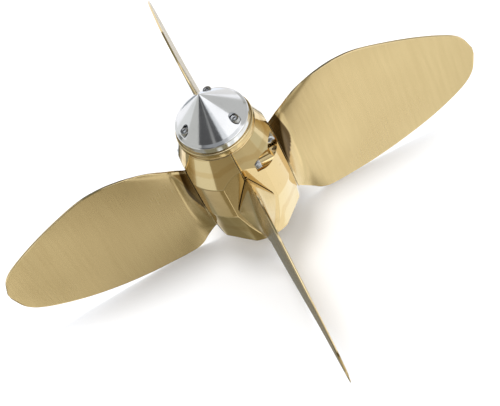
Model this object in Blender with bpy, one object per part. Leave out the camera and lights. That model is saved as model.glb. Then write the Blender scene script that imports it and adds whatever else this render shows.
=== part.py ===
# Four-blade feathering propeller of a sailing yacht, standing on its feathered blades.
# A split bronze body turns on the shaft hub and carries the blades, a nose cap and an anode.
# The shaft axis is Z, nose up, and z = 0 is the floor under the blades' lowest edges.

import math

import bmesh
import bpy
from mathutils import Matrix, Vector

MM = 0.001
GAP = 0.3 * MM

# Whole propeller
tip_radius = 260 * MM
blade_axis_height = 80 * MM
blade_turn_from_feather = math.radians(-2.8)
round_steps = 48

# Body, heights measured from the blade axis
body_bottom = -57 * MM
body_bottom_radius = 45 * MM
body_waist = -3 * MM
body_radius = 50.4 * MM
body_shoulder = 43.5 * MM
body_top = 77 * MM
body_top_radius = 38.3 * MM
body_edge_chamfer = 1.2 * MM
pad_distance = 45.5 * MM
bottom_flat_distance = 41.7 * MM
cap_bore_radius = 20 * MM
cap_floor = 62 * MM

# Shaft hub
hub_radius = 25.6 * MM
hub_bottom = -60 * MM
hub_top = 61.6 * MM
taper_radius_bottom = 17.5 * MM
taper_radius_top = 12.5 * MM
nut_seat_height = 40 * MM
nut_recess_radius = 19 * MM
keyway_width = 10 * MM
keyway_reach = 20.5 * MM

# Blade journals
journal_radius = 15 * MM
journal_clearance = 0.3 * MM
collar_radius = 19 * MM
collar_inner = 27 * MM
collar_outer = 35.6 * MM
collar_seat = 36 * MM

# Blade foot, a pointed leaf shape on the pad
foot_half_width = 19.3 * MM
foot_end_half_width = 4.2 * MM
foot_widest = 3.7 * MM
foot_upper_point = 45.5 * MM
foot_lower_end = -54 * MM
foot_upper_power = 1.06
foot_lower_power = 1.15
foot_flare_length = 18 * MM
foot_flare_power = 2.2
foot_point_climb = 0.68

# Blade thickness, half of it, and the blunt edges
blade_half_thickness_root = 5 * MM
blade_half_thickness_tip = 1 * MM
blade_half_upper_edge = 1.1 * MM
blade_half_lower_edge = 0.5 * MM
blade_thickness_start = 50 * MM
blade_taper_power = 2.0
blade_section_power = 2.0
blade_stations = 32
blade_chord_steps = 14
station_crowding = 0.11

# The outer blade stands straighter than its root and is slightly bent across
blade_bend_start = 60 * MM
blade_bend_end = 190 * MM
blade_bend_slope = 0.018
blade_bend_camber = 0.012
blade_bend_round = 20 * MM

# Nose cap, whose rim shows as a ring, the anode and its screws
cap_radius = 38.8 * MM
cap_bottom = body_top + GAP
cap_top = 85.2 * MM
cap_groove_radius = 37 * MM
cap_groove_height = 1.2 * MM
cap_edge_round = 1.2 * MM
anode_bottom = cap_top + GAP
anode_rim_radius = 37 * MM
anode_rim_top = 92.5 * MM
anode_ridge_radius = 33.4 * MM
anode_ridge = 95 * MM
anode_apex = 129.5 * MM
anode_apex_radius = 0.8 * MM
anode_screw_circle = 28.5 * MM
anode_screw_bearing = math.radians(-48)
anode_screw_head_radius = 4.3 * MM
anode_screw_head_height = 5 * MM
anode_screw_head_top = 101 * MM
anode_screw_shank_radius = 2.5 * MM
anode_screw_end = 79.5 * MM
anode_screw_hex = 4 * MM

# Seam bolts, heads in milled pockets
bolt_height = 48.5 * MM
bolt_distance = 39.5 * MM
bolt_head_radius = 5 * MM
bolt_head_height = 6 * MM
bolt_shank_radius = 3 * MM
bolt_seat = 15 * MM
bolt_end = -14 * MM
bolt_hex = 5 * MM
pocket_radius = 7.3 * MM
pocket_end = 60 * MM
hole_clearance = 0.3 * MM

# Blade outline from the foot to the tip: distance from the shaft axis, height over the blade axis
upper_edge = [(45.8, 45.5), (62, 56.5), (82, 69.6), (106, 78.2), (130, 81.5), (156, 77.6), (200, 59.3),
              (235, 39.5), (252, 24.5), (260, 4)]
lower_edge = [(45.8, -54), (60, -69), (68, -76.5), (79, -80), (105, -79.4), (130, -77.6), (165, -71.6),
              (202, -61), (236, -45), (253, -29), (260, -6)]

BRONZE = ("bronze", (0.66, 0.47, 0.21), 0.22, 1.0)
BLADE_BRONZE = ("blade bronze", (0.70, 0.53, 0.27), 0.32, 1.0)
ANODE_METAL = ("anode metal", (0.72, 0.73, 0.74), 0.25, 1.0)
SCREW_STEEL = ("screw steel", (0.55, 0.56, 0.57), 0.2, 1.0)


def clear_scene():
    for item in list(bpy.data.objects):
        bpy.data.objects.remove(item, do_unlink=True)


def material(look):
    name, colour, roughness, metallic = look
    found = bpy.data.materials.get(name)
    if found:
        return found
    made = bpy.data.materials.new(name)
    made.use_nodes = True
    shader = made.node_tree.nodes["Principled BSDF"]
    shader.inputs["Base Color"].default_value = (*colour, 1.0)
    shader.inputs["Roughness"].default_value = roughness
    shader.inputs["Metallic"].default_value = metallic
    made.diffuse_color = (*colour, 1.0)
    return made


def mesh_from(name, points, faces):
    mesh = bpy.data.meshes.new(name)
    mesh.from_pydata(points, [], faces)
    mesh.validate()
    return mesh


def add_object(name, mesh):
    item = bpy.data.objects.new(name, mesh)
    bpy.context.collection.objects.link(item)
    return item


def finish(item, look):
    item.data.materials.clear()
    item.data.materials.append(material(look))
    item.data.shade_smooth()
    item.data.set_sharp_from_angle(angle=math.radians(30))


def add_cutter(name, mesh):
    item = add_object(name, mesh)
    item.hide_render = True
    item.display_type = "WIRE"
    return item


def turned_mesh(name, profile, steps=round_steps):
    """Closed profile of (radius, height) pairs, counter-clockwise with +X out, spun around Z."""
    points = []
    rings = []
    for radius, height in profile:
        if radius == 0:
            rings.append([len(points)] * steps)
            points.append((0, 0, height))
            continue
        rings.append([len(points) + k for k in range(steps)])
        for k in range(steps):
            turn = 2 * math.pi * k / steps
            points.append((radius * math.cos(turn), radius * math.sin(turn), height))
    faces = []
    count = len(profile)
    for i in range(count):
        lower = rings[i]
        upper = rings[(i + 1) % count]
        for k in range(steps):
            corners = [lower[k], lower[(k + 1) % steps], upper[(k + 1) % steps], upper[k]]
            face = list(dict.fromkeys(corners))
            if len(face) > 2:
                faces.append(face)
    return mesh_from(name, points, faces)


def rod_mesh(name, radius, start, end, steps=24):
    return turned_mesh(name, [(0, start), (radius, start), (radius, end), (0, end)], steps)


def box_mesh(name, low, high):
    made = bmesh.new()
    bmesh.ops.create_cube(made, size=1)
    size = Vector(high) - Vector(low)
    centre = (Vector(high) + Vector(low)) / 2
    bmesh.ops.scale(made, vec=size, verts=made.verts)
    bmesh.ops.translate(made, vec=centre, verts=made.verts)
    mesh = bpy.data.meshes.new(name)
    made.to_mesh(mesh)
    made.free()
    return mesh


def join_shapes(base, tool, operation):
    """Leaves base with the result of one exact Boolean and removes the tool."""
    step = base.modifiers.new(operation, "BOOLEAN")
    step.operation = operation
    step.object = tool
    step.solver = "EXACT"
    bpy.context.view_layer.update()
    result = bpy.data.meshes.new_from_object(base.evaluated_get(bpy.context.evaluated_depsgraph_get()))
    base.modifiers.clear()
    base.data = result
    bpy.data.objects.remove(tool, do_unlink=True)


def drill(base, radius, start, end, place, steps=24):
    """Cuts a round hole along the tool's own Z, from start to end, set by the matrix place."""
    tool = add_cutter("drill", rod_mesh("drill", radius, start, end, steps))
    tool.matrix_world = place
    bpy.context.view_layer.update()
    join_shapes(base, tool, "DIFFERENCE")


def cut_box(base, low, high, place=None, operation="DIFFERENCE"):
    tool = add_cutter("box cutter", box_mesh("box cutter", low, high))
    tool.matrix_world = place or Matrix.Identity(4)
    bpy.context.view_layer.update()
    join_shapes(base, tool, operation)


def lifted(height=0.0):
    return Matrix.Translation((0, 0, blade_axis_height + height))


def blade_direction(index):
    """Turn about Z that carries +X onto blade number index: front, right, back, left."""
    return Matrix.Rotation(math.radians(-90 + 90 * index), 4, "Z")


def along_x():
    return Matrix.Rotation(math.radians(90), 4, "Y")


def body_profile():
    lower_slope_radius = body_bottom_radius - body_edge_chamfer
    return [
        (hub_radius + GAP, body_bottom),
        (lower_slope_radius, body_bottom),
        (body_bottom_radius, body_bottom + body_edge_chamfer),
        (body_radius, body_waist),
        (body_radius, body_shoulder),
        (body_top_radius, body_top - body_edge_chamfer),
        (body_top_radius - body_edge_chamfer, body_top),
        (cap_bore_radius, body_top),
        (cap_bore_radius, cap_floor),
        (hub_radius + GAP, cap_floor),
    ]


def flatten_bottom(mesh):
    """Pulls the bottom rim in to a straight line between each two blades."""
    made = bmesh.new()
    made.from_mesh(mesh)
    bore = body_bottom_radius - 2 * body_edge_chamfer
    for point in made.verts:
        radius = point.co.xy.length
        if point.co.z >= body_waist or radius < bore:
            continue
        from_middle = math.atan2(abs(point.co.y), abs(point.co.x)) - math.radians(45)
        below_rim = body_bottom_radius - radius
        limit = bottom_flat_distance / math.cos(from_middle) - below_rim
        point.co.xy *= min(1.0, limit / radius)
    bmesh.ops.triangulate(made, faces=made.faces)
    made.to_mesh(mesh)
    made.free()


def make_body():
    """The whole body with its flats and journal bores, before it is split."""
    mesh = turned_mesh("body", body_profile())
    flatten_bottom(mesh)
    body = add_object("body", mesh)
    far = body_radius * 2
    for index in range(4):
        cut_box(body, (pad_distance, -far, -far), (far, far, far), blade_direction(index))
        place = blade_direction(index) @ along_x()
        drill(body, journal_radius + journal_clearance, 0, far, place, 32)
        drill(body, collar_radius + journal_clearance * 2, 0, collar_seat, place, 32)
    return body


def bolt_places():
    """Bolt axes, each with its own +Z from the thread to the head, crossing one seam."""
    right = Matrix.Translation((0, -bolt_distance, bolt_height)) @ along_x()
    front = Matrix.Translation((bolt_distance, 0, bolt_height)) @ Matrix.Rotation(math.radians(90), 4, "X")
    half_turn = Matrix.Rotation(math.pi, 4, "Z")
    return {
        "seam_bolt_front": right,
        "seam_bolt_right": front,
        "seam_bolt_back": half_turn @ right,
        "seam_bolt_left": half_turn @ front,
    }


def split_body(body):
    for place in bolt_places().values():
        drill(body, pocket_radius, bolt_seat, pocket_end, place, 28)
        drill(body, bolt_shank_radius + hole_clearance, bolt_end - hole_clearance, bolt_seat, place, 16)
    names = ["body_quarter_front_right", "body_quarter_back_right", "body_quarter_back_left",
             "body_quarter_front_left"]
    far = body_radius * 3
    for index, name in enumerate(names):
        quarter = add_object(name, body.data.copy())
        cut_box(quarter, (GAP / 2, GAP / 2, -far), (far, far, far), blade_direction(index), "INTERSECT")
        finish(quarter, BRONZE)
        quarter.matrix_world = lifted()
    bpy.data.objects.remove(body, do_unlink=True)


def make_hub():
    profile = [
        (taper_radius_bottom, hub_bottom),
        (hub_radius, hub_bottom),
        (hub_radius, hub_top),
        (nut_recess_radius, hub_top),
        (nut_recess_radius, nut_seat_height),
        (taper_radius_top, nut_seat_height),
    ]
    hub = add_object("hub", turned_mesh("hub", profile))
    half = keyway_width / 2
    cut_box(hub, (-half, 0, hub_bottom - GAP), (half, keyway_reach, nut_seat_height / 2))
    finish(hub, BRONZE)
    hub.matrix_world = lifted()


def smooth_path(points, count):
    """Points at even steps along a Catmull-Rom curve through the given ones."""
    dense = []
    steps = 12
    last = len(points) - 1
    for i in range(last):
        before = Vector(points[max(i - 1, 0)])
        start = Vector(points[i])
        end = Vector(points[i + 1])
        after = Vector(points[min(i + 2, last)])
        for k in range(steps):
            t = k / steps
            bend = (2 * start + (end - before) * t + (2 * before - 5 * start + 4 * end - after) * t ** 2
                    + (3 * start - before - 3 * end + after) * t ** 3)
            dense.append(bend / 2)
    dense.append(Vector(points[last]))
    travelled = [0.0]
    for a, b in zip(dense, dense[1:]):
        travelled.append(travelled[-1] + (b - a).length)
    path = []
    place = 0
    for k in range(count):
        wanted = travelled[-1] * station_share(k, count)
        while place < len(dense) - 2 and travelled[place + 1] < wanted:
            place += 1
        share = (wanted - travelled[place]) / (travelled[place + 1] - travelled[place])
        path.append(dense[place].lerp(dense[place + 1], min(share, 1.0)) * MM)
    return path


def station_share(index, count):
    """Stations stand closer together at the foot's flare and at the round tip."""
    even = index / (count - 1)
    return even - station_crowding * math.sin(2 * math.pi * even)


def foot_width(distance, height):
    """Half width of the foot: pointed above, where its point climbs with the blade's edge, and blunt below."""
    if height > foot_widest:
        point = foot_upper_point + foot_point_climb * (distance - upper_edge[0][0] * MM)
        share = (height - foot_widest) / (point - foot_widest)
        return foot_half_width * (1 - min(share, 1.0) ** foot_upper_power)
    share = (foot_widest - height) / (foot_widest - foot_lower_end)
    fall = foot_half_width - foot_end_half_width
    return foot_half_width - fall * min(share, 1.0) ** foot_lower_power


def foot_share(distance):
    """Share of the foot's width left at a distance, falling off in a hollow curve."""
    outward = min(1.0, (distance - upper_edge[0][0] * MM) / foot_flare_length)
    return (1 - outward) ** foot_flare_power


def half_thickness(distance, height, chord):
    """Lens-shaped blade section, swelling into the foot near the pad."""
    outward = max(0.0, (distance - blade_thickness_start) / (tip_radius - blade_thickness_start))
    thinning = max(0.0, 1 - outward) ** blade_taper_power
    middle = blade_half_thickness_tip + (blade_half_thickness_root - blade_half_thickness_tip) * thinning
    edge = blade_half_lower_edge + (blade_half_upper_edge - blade_half_lower_edge) * (chord + 1) / 2
    blade = edge + (middle - edge) * (1 - abs(chord) ** blade_section_power)
    widest = foot_width(distance, min(height, foot_widest))
    swelling = blade + max(0.0, widest - blade) * foot_share(distance)
    return min(swelling, max(blade, foot_width(distance, height)))


def sideways(distance, height):
    """Shift of the blade's middle surface off the plane through its axis."""
    share = (distance - blade_bend_start) / (blade_bend_end - blade_bend_start)
    share = max(0.0, min(share, 1.0))
    share = share * share * (3 - 2 * share)
    across = math.hypot(height, blade_bend_round) - blade_bend_round
    return share * (blade_bend_camber * across - blade_bend_slope * height)


def blade_mesh():
    """Sections between matching points of the upper and lower edges, closed at foot and tip."""
    upper = smooth_path(upper_edge, blade_stations)
    lower = smooth_path(lower_edge, blade_stations)
    loops = []
    points = []
    for high, low in zip(upper, lower):
        front = []
        back = []
        for k in range(blade_chord_steps + 1):
            chord = math.cos(math.pi * k / blade_chord_steps)
            middle = low.lerp(high, (chord + 1) / 2)
            thick = half_thickness(middle.x, middle.y, chord)
            shift = sideways(middle.x, middle.y)
            front.append((middle.x, shift - thick, middle.y))
            back.append((middle.x, shift + thick, middle.y))
        loops.append([len(points) + k for k in range(2 * len(front))])
        points.extend(front)
        points.extend(reversed(back))
    faces = []
    around = len(loops[0])
    for inner, outer in zip(loops, loops[1:]):
        for k in range(around):
            faces.append([inner[k], outer[k], outer[(k + 1) % around], inner[(k + 1) % around]])
    faces.append(list(loops[0]))
    faces.append(list(reversed(loops[-1])))
    mesh = mesh_from("blade", points, faces)
    made = bmesh.new()
    made.from_mesh(mesh)
    bmesh.ops.recalc_face_normals(made, faces=made.faces)
    made.to_mesh(mesh)
    made.free()
    return mesh


def make_blades():
    names = ["blade_front", "blade_right", "blade_back", "blade_left"]
    first = add_object(names[0], blade_mesh())
    foot = upper_edge[0][0] * MM
    journal = [(0, collar_inner), (collar_radius, collar_inner), (collar_radius, collar_outer),
               (journal_radius, collar_outer), (journal_radius, foot + 2 * MM), (0, foot + 2 * MM)]
    shank = add_cutter("shank", turned_mesh("shank", journal, 32))
    shank.matrix_world = along_x()
    bpy.context.view_layer.update()
    join_shapes(first, shank, "UNION")
    finish(first, BLADE_BRONZE)
    for index, name in enumerate(names):
        blade = first if index == 0 else add_object(name, first.data)
        turn = Matrix.Rotation(blade_turn_from_feather, 4, "X")
        blade.matrix_world = lifted() @ blade_direction(index) @ turn


def make_cap():
    above_groove = cap_bottom + cap_groove_height
    profile = [
        (0, cap_bottom),
        (cap_groove_radius, cap_bottom),
        (cap_groove_radius, above_groove),
        (cap_radius, above_groove),
        (cap_radius, cap_top - cap_edge_round),
        (cap_radius - cap_edge_round, cap_top),
        (0, cap_top),
    ]
    cap = add_object("nose_cap", turned_mesh("nose_cap", profile))
    for place in anode_screw_places():
        drill(cap, anode_screw_shank_radius + hole_clearance, anode_screw_end - GAP, cap_top * 2, place, 16)
    finish(cap, BRONZE)
    cap.matrix_world = lifted()


def anode_screw_places():
    places = []
    for k in range(3):
        bearing = anode_screw_bearing + k * math.radians(120)
        centre = (anode_screw_circle * math.cos(bearing), anode_screw_circle * math.sin(bearing), 0)
        places.append(Matrix.Translation(centre))
    return places


def make_anode():
    shoulder = math.sqrt(0.5)
    reach = anode_rim_radius - anode_ridge_radius
    rise = anode_ridge - anode_rim_top
    profile = [
        (0, anode_bottom),
        (anode_rim_radius, anode_bottom),
        (anode_rim_radius, anode_rim_top),
        (anode_ridge_radius + reach * shoulder, anode_rim_top + rise * shoulder),
        (anode_ridge_radius, anode_ridge),
        (anode_apex_radius, anode_apex),
        (0, anode_apex),
    ]
    anode = add_object("nose_anode", turned_mesh("nose_anode", profile))
    seat = anode_screw_head_top - anode_screw_head_height - GAP
    for place in anode_screw_places():
        drill(anode, anode_screw_head_radius + 2 * hole_clearance, seat, anode_apex, place, 24)
        drill(anode, anode_screw_shank_radius + hole_clearance, 0, seat + GAP, place, 16)
    finish(anode, ANODE_METAL)
    anode.matrix_world = lifted()


def screw_mesh(name, head_radius, head_height, shank_radius, shank_length, hex_width):
    """Socket cap screw with its head's underside at z = 0 and its hex socket at the top."""
    edge = head_radius * 0.1
    profile = [
        (0, -shank_length),
        (shank_radius, -shank_length),
        (shank_radius, 0),
        (head_radius, 0),
        (head_radius, head_height - edge),
        (head_radius - edge, head_height),
        (0, head_height),
    ]
    screw = add_object(name, turned_mesh(name, profile, 24))
    corner = hex_width / math.sqrt(3)
    socket = add_cutter("socket", rod_mesh("socket", corner, head_height / 2, head_height * 2, 6))
    join_shapes(screw, socket, "DIFFERENCE")
    finish(screw, SCREW_STEEL)
    mesh = screw.data
    bpy.data.objects.remove(screw, do_unlink=True)
    return mesh


def make_screws():
    head_base = anode_screw_head_top - anode_screw_head_height
    mesh = screw_mesh("anode_screw", anode_screw_head_radius, anode_screw_head_height,
                      anode_screw_shank_radius, head_base - anode_screw_end, anode_screw_hex)
    for k, place in enumerate(anode_screw_places()):
        screw = add_object(f"anode_screw_{k + 1}", mesh)
        screw.matrix_world = lifted(head_base) @ place
    mesh = screw_mesh("seam_bolt", bolt_head_radius, bolt_head_height, bolt_shank_radius,
                      bolt_seat - bolt_end, bolt_hex)
    for name, place in bolt_places().items():
        bolt = add_object(name, mesh)
        bolt.matrix_world = lifted() @ place @ Matrix.Translation((0, 0, bolt_seat + GAP))


def main():
    clear_scene()
    split_body(make_body())
    make_hub()
    make_blades()
    make_cap()
    make_anode()
    make_screws()


main()
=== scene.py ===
import math

import bmesh
import bpy
import numpy as np
from mathutils import Matrix, Vector


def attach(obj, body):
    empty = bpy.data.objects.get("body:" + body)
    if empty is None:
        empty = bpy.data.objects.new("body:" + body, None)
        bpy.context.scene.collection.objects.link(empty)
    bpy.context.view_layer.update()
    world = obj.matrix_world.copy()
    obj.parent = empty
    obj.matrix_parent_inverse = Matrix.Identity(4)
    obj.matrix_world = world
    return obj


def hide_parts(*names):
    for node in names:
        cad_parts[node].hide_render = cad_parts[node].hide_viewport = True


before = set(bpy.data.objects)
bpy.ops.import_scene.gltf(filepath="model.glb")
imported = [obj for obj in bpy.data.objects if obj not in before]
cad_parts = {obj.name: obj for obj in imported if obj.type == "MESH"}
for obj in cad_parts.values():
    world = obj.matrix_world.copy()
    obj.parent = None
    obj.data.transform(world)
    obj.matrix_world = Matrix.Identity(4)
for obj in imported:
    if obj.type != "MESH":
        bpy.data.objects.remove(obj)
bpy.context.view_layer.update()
print("frame loaded:", len(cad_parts), "nodes")

# Lengths in the piece dictionaries are millimetres, heights are above the blade axes
mm = 0.001
propeller = {
    "axisHeight": 80,         # blade axes over the floor
    "bladeTurn": -2.8,        # degrees off feather, about each blade's outward axis
    "sides": ("front", "right", "back", "left"),
    "sharpAngle": 35,         # degrees between two faces past which shading breaks
    "weld": 0.001,            # points closer than this become one
    "overcut": 1,             # cutting tools reach this far past the faces that they open
}


# Arrays and meshes

def crowdedSteps(count, crowd):
    # shares 0..1 in count points, drawn towards both ends by crowd (0 even, 1 fully)
    t = np.linspace(0, 1, count)
    return t - crowd * np.sin(2 * np.pi * t) / (2 * np.pi)


def softMin(a, b, width):
    # the lower of a and b, with the corner between them rounded over width
    return np.minimum(a, b) - np.clip(width - np.abs(a - b), 0, None) ** 2 / (4 * width)


def gridFaces(rows, cols, wrapRows, wrapCols):
    # quad (i, j) joins grid points (i, j), (i, j+1), (i+1, j+1), (i+1, j)
    i, j = np.indices((rows - (not wrapRows), cols - (not wrapCols)))
    nextI = (i + 1) % rows
    nextJ = (j + 1) % cols
    quads = [i * cols + j, i * cols + nextJ, nextI * cols + nextJ, nextI * cols + j]
    return np.stack(quads, -1).reshape(-1, 4)


def surfaceMesh(name, grid, wrapRows=False, wrapCols=False, caps=(), masks=None, place=None):
    # grid is (rows, cols, 3) in mm; caps are arrays of point numbers; masks are arrays on the grid
    rows, cols = grid.shape[:2]
    faces = gridFaces(rows, cols, wrapRows, wrapCols).tolist() + [cap.tolist() for cap in caps]
    mesh = bpy.data.meshes.new(name)
    mesh.from_pydata((grid.reshape(-1, 3) * mm).tolist(), [], faces)
    for maskName, values in (masks or {}).items():
        isVector = np.ndim(values) == 3
        layer = mesh.attributes.new(maskName, "FLOAT_VECTOR" if isVector else "FLOAT", "POINT")
        flat = np.ascontiguousarray(values, dtype=np.float32).ravel()
        layer.data.foreach_set("vector" if isVector else "value", flat)
    cleanMesh(mesh)
    if place is not None:
        mesh.transform(place)
    return mesh


def cleanMesh(mesh):
    # points that coincide at poles and seams become one, and faces turn outwards
    made = bmesh.new()
    made.from_mesh(mesh)
    bmesh.ops.remove_doubles(made, verts=made.verts, dist=propeller["weld"] * mm)
    bmesh.ops.recalc_face_normals(made, faces=made.faces)
    made.to_mesh(mesh)
    made.free()


def roundedProfile(corners, arcPoints=6):
    # closed outline: each corner (r, z, fillet) becomes an arc tangent to both its sides;
    # wear is 0 at a plain corner, and on an arc 0.4 at its ends and 1 in its middle
    flat = np.array([corner[:2] for corner in corners], dtype=float)
    points = []
    worn = []
    for here, back, ahead, corner in zip(flat, np.roll(flat, 1, 0), np.roll(flat, -1, 0), corners):
        fillet = corner[2] if len(corner) > 2 else 0
        if not fillet:
            points.append(here)
            worn.append(0.0)
            continue
        a = (back - here) / np.linalg.norm(back - here)
        b = (ahead - here) / np.linalg.norm(ahead - here)
        half = math.acos(np.clip(a @ b, -1, 1)) / 2
        centre = here + (a + b) / np.linalg.norm(a + b) * fillet / math.sin(half)
        first = here + a * fillet / math.tan(half) - centre
        last = here + b * fillet / math.tan(half) - centre
        swing = math.pi - 2 * half
        t = np.linspace(0, 1, arcPoints)[:, None]
        arc = (np.sin((1 - t) * swing) * first + np.sin(t * swing) * last) / math.sin(swing)
        points.extend(centre + arc)
        worn.extend(np.sin(np.pi * t[:, 0]) * 0.6 + 0.4)
    return np.array(points), np.array(worn)


def finely(profile, worn, longest):
    # straight runs of a closed outline cut into equal parts, none longer than longest
    points = []
    levels = []
    for here, ahead, level in zip(profile, np.roll(profile, -1, 0), worn):
        parts = max(1, math.ceil(np.linalg.norm(ahead - here) / longest))
        t = np.arange(parts)[:, None] / parts
        points.append(here + (ahead - here) * t)
        levels.append(np.where(np.arange(parts) == 0, level, 0.0))
    return np.vstack(points), np.concatenate(levels)


def turnedGrid(profile, count):
    # point = (r cos a, r sin a, z) for each (r, z) of the profile and each of count angles a
    r, z = np.asarray(profile, dtype=float).T
    a = np.linspace(0, 2 * np.pi, count, endpoint=False)
    x, y = np.outer(r, np.cos(a)), np.outer(r, np.sin(a))
    return np.stack([x, y, np.outer(z, np.ones(count))], -1)


def outline(piece, *corners):
    # each corner names its radius, height and fillet in the piece's dictionary; axis is radius 0
    values = {"axis": 0, **piece}
    return [[values[name] for name in corner.split()] for corner in corners]


def turnedMesh(name, corners, count, place, arcPoints=6, longest=4.0):
    # outline of (r, z, fillet) corners turned about Z, its wear the same all the way round
    profile, worn = finely(*roundedProfile(corners, arcPoints), longest)
    masks = {"edge": np.outer(worn, np.ones(count))}
    return surfaceMesh(name, turnedGrid(profile, count), True, True, masks=masks, place=place)


def roundTool(radius, start, end, place, count=64):
    # plain cylinder about Z from start to end, for cutting
    profile = [(0, start), (radius, start), (radius, end), (0, end)]
    return surfaceMesh("tool", turnedGrid(profile, count), True, True, place=place)


def addObject(name, data):
    # new object in the scene, at the origin
    made = bpy.data.objects.new(name, data)
    bpy.context.scene.collection.objects.link(made)
    return made


def cutMesh(mesh, cutters):
    # mesh less each cutter mesh in turn, by exact Boolean; returns the new mesh
    base = addObject(mesh.name, mesh)
    for cutter in cutters:
        tool = addObject("cutter", cutter)
        cut = base.modifiers.new("cut", "BOOLEAN")
        cut.operation = "DIFFERENCE"
        cut.solver = "EXACT"
        cut.object = tool
        bpy.context.view_layer.update()
        worked = base.evaluated_get(bpy.context.evaluated_depsgraph_get())
        made = bpy.data.meshes.new_from_object(worked)
        base.modifiers.clear()
        base.data = made
        bpy.data.objects.remove(tool, do_unlink=True)
    result = base.data
    bpy.data.objects.remove(base, do_unlink=True)
    return result


def joinMesh(mesh, other):
    # adds the closed shell of the other mesh to the first one
    made = bmesh.new()
    made.from_mesh(mesh)
    made.from_mesh(other)
    made.to_mesh(mesh)
    made.free()


def lifted(height=0.0):
    # shift from the floor up to the blade axes, and height above them
    return Matrix.Translation((0, 0, (propeller["axisHeight"] + height) * mm))


def bladeDirection(index):
    # turn about Z that carries +X onto blade number index: front, right, back, left
    return Matrix.Rotation(math.radians(-90 + 90 * index), 4, "Z")


def alongX():
    # turn that lays +Z along +X
    return Matrix.Rotation(math.radians(90), 4, "Y")


def fitPiece(mesh, name, node, body, slot):
    # the fine piece takes the CAD node's place and rides on the same body
    mesh.materials.clear()
    mesh.materials.append(looks[slot])
    mesh.shade_smooth()
    mesh.set_sharp_from_angle(angle=math.radians(propeller["sharpAngle"]))
    piece = addObject(name, mesh)
    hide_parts(node)
    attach(piece, body)


# Shader building

def addNode(tree, kind, values=None, **settings):
    # new shader node with its settings; values go to its inputs, as links or as constants
    made = tree.nodes.new("ShaderNode" + kind)
    for name, value in settings.items():
        setattr(made, name, value)
    for name, value in (values or {}).items():
        socket = made.inputs[name]
        if isinstance(value, bpy.types.NodeSocket):
            tree.links.new(value, socket)
        else:
            socket.default_value = value
    return made


def mathNode(tree, operation, *values):
    # result of one Math node on two or three values
    return addNode(tree, "Math", dict(enumerate(values)), operation=operation).outputs[0]


def times(tree, value, gain):
    # gain * value
    return mathNode(tree, "MULTIPLY", value, gain)


def raised(tree, base, value, gain):
    # base + gain * value
    return mathNode(tree, "MULTIPLY_ADD", value, gain, base)


def noiseNode(tree, place, scale, detail):
    # noise 0..1 read at the place
    values = {"Vector": place, "Scale": scale, "Detail": detail}
    return addNode(tree, "TexNoise", values).outputs["Fac"]


def lineNoise(tree, along, detail):
    # noise 0..1 read along one number
    values = {"W": along, "Scale": 1.0, "Detail": detail}
    return addNode(tree, "TexNoise", values, noise_dimensions="1D").outputs["Fac"]


def rangeNode(tree, value, low, high, toLow=0.0, toHigh=1.0, smooth=False):
    # low..high of the value spread over toLow..toHigh, held at both ends
    kind = "SMOOTHSTEP" if smooth else "LINEAR"
    values = {"Value": value, "From Min": low, "From Max": high, "To Min": toLow, "To Max": toHigh}
    made = addNode(tree, "MapRange", values, interpolation_type=kind, clamp=True)
    return made.outputs[0]


def mixColour(tree, share, first, second):
    # first (1 - share) + second share; a plain colour is (red, green, blue)
    first, second = ((*c, 1) if isinstance(c, tuple) else c for c in (first, second))
    values = {0: share, 6: first, 7: second}
    made = addNode(tree, "Mix", values, data_type="RGBA", clamp_factor=True)
    return made.outputs[2]


def layered(tree, colour, layers):
    # each (share, over) of the layers is mixed over what lies under it
    for share, over in layers:
        colour = mixColour(tree, share, colour, over)
    return colour


def attributeOf(tree, name, output="Fac"):
    # the mesh's own mask of that name
    return addNode(tree, "Attribute", attribute_name=name).outputs[output]


def startGroup(name, inputs, outputs):
    # inputs are name: default, after the place that every effect reads; outputs are numbers
    tree = bpy.data.node_groups.new(name, "ShaderNodeTree")
    for socketName, default in {"Place": (0.0, 0.0, 0.0), **inputs}.items():
        kind = "NodeSocketVector" if isinstance(default, tuple) else "NodeSocketFloat"
        socket = tree.interface.new_socket(socketName, in_out="INPUT", socket_type=kind)
        socket.default_value = default
    for socketName in outputs:
        tree.interface.new_socket(socketName, in_out="OUTPUT", socket_type="NodeSocketFloat")
    given = tree.nodes.new("NodeGroupInput").outputs
    return tree, given, tree.nodes.new("NodeGroupOutput").inputs


def useEffect(tree, effect, place, values=None):
    # a shared effect read at the place; values that are left out stay the group's
    given = {"Place": place, **(values or {})}
    return addNode(tree, "Group", given, node_tree=effects[effect]).outputs


def makeScratchGroup():
    # fine lines: noise stretched along one direction, cut to its thin high crests
    # and broken up by a second noise
    inputs = {"Across": 900.0, "Along": 40.0, "Threshold": 0.62, "Patches": 60.0}
    tree, given, out = startGroup("fine scratches", inputs, ("Mask", "Grain"))
    crestTop = 0.85
    patchLow, patchHigh = 0.45, 0.62
    stretch = {"X": given["Across"], "Y": given["Along"], "Z": given["Across"]}
    lines = addNode(tree, "CombineXYZ", stretch).outputs[0]
    stretched = {0: given["Place"], 1: lines}
    place = addNode(tree, "VectorMath", stretched, operation="MULTIPLY").outputs[0]
    grain = noiseNode(tree, place, 1.0, 3.0)
    patches = noiseNode(tree, given["Place"], given["Patches"], 2.0)
    crests = rangeNode(tree, grain, given["Threshold"], crestTop)
    broken = rangeNode(tree, patches, patchLow, patchHigh)
    tree.links.new(times(tree, crests, broken), out["Mask"])
    tree.links.new(grain, out["Grain"])
    return tree


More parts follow.
